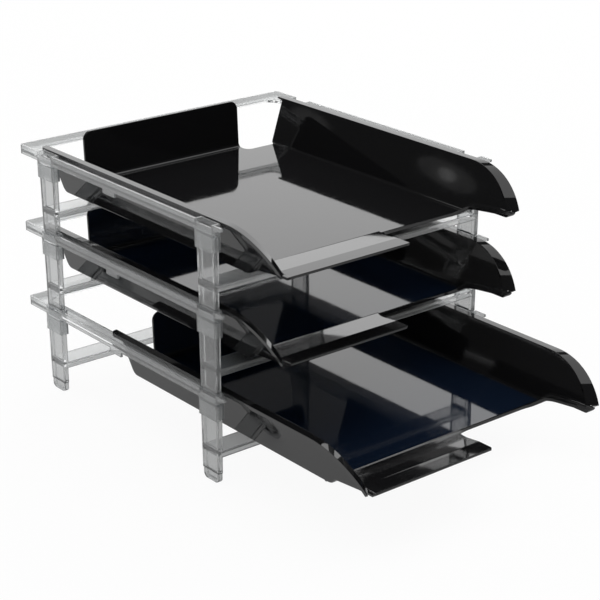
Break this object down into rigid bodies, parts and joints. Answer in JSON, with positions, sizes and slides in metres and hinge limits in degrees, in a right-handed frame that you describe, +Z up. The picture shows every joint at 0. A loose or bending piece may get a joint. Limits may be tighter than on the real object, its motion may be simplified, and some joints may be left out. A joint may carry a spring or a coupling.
{
  "type": "tiered letter tray",
  "caption": "Desk letter tray with glossy black trays that slide in clear rim frames, stacked on clear snap-in risers.",
  "frame": {"origin": "bottom centre of the whole object's box, on the surface that the feet stand on, with the bottom tray pulled forward", "axes": "+Z up, -Y to the open front of the trays, +X to the right seen from the front"},
  "size_m": [0.2884, 0.4498, 0.227],
  "materials": {
    "black_tray": "high gloss, injection moulded",
    "clear_frame": "clear, polished, injection moulded"
  },
  "bodies": {
    "stack": {"top_rim_frame": "clear_frame", "top_front_riser": "clear_frame", "top_rear_riser": "clear_frame", "middle_rim_frame": "clear_frame", "middle_front_riser": "clear_frame", "middle_rear_riser": "clear_frame", "bottom_rim_frame": "clear_frame", "bottom_front_riser": "clear_frame", "bottom_rear_riser": "clear_frame"},
    "top_tray": {"top_tray": "black_tray"},
    "middle_tray": {"middle_tray": "black_tray"},
    "bottom_tray": {"bottom_tray": "black_tray"}
  },
  "joints": [
    {"name": "top_tray_slide", "type": "slide", "parent": "stack", "child": "top_tray", "axis": [0, -1, 0], "range_m": [-0.005, 0.115]},
    {"name": "middle_tray_slide", "type": "slide", "parent": "stack", "child": "middle_tray", "axis": [0, -1, 0], "range_m": [-0.005, 0.115]},
    {"name": "bottom_tray_slide", "type": "slide", "parent": "stack", "child": "bottom_tray", "axis": [0, -1, 0], "range_m": [-0.105, 0.015]}
  ]
}
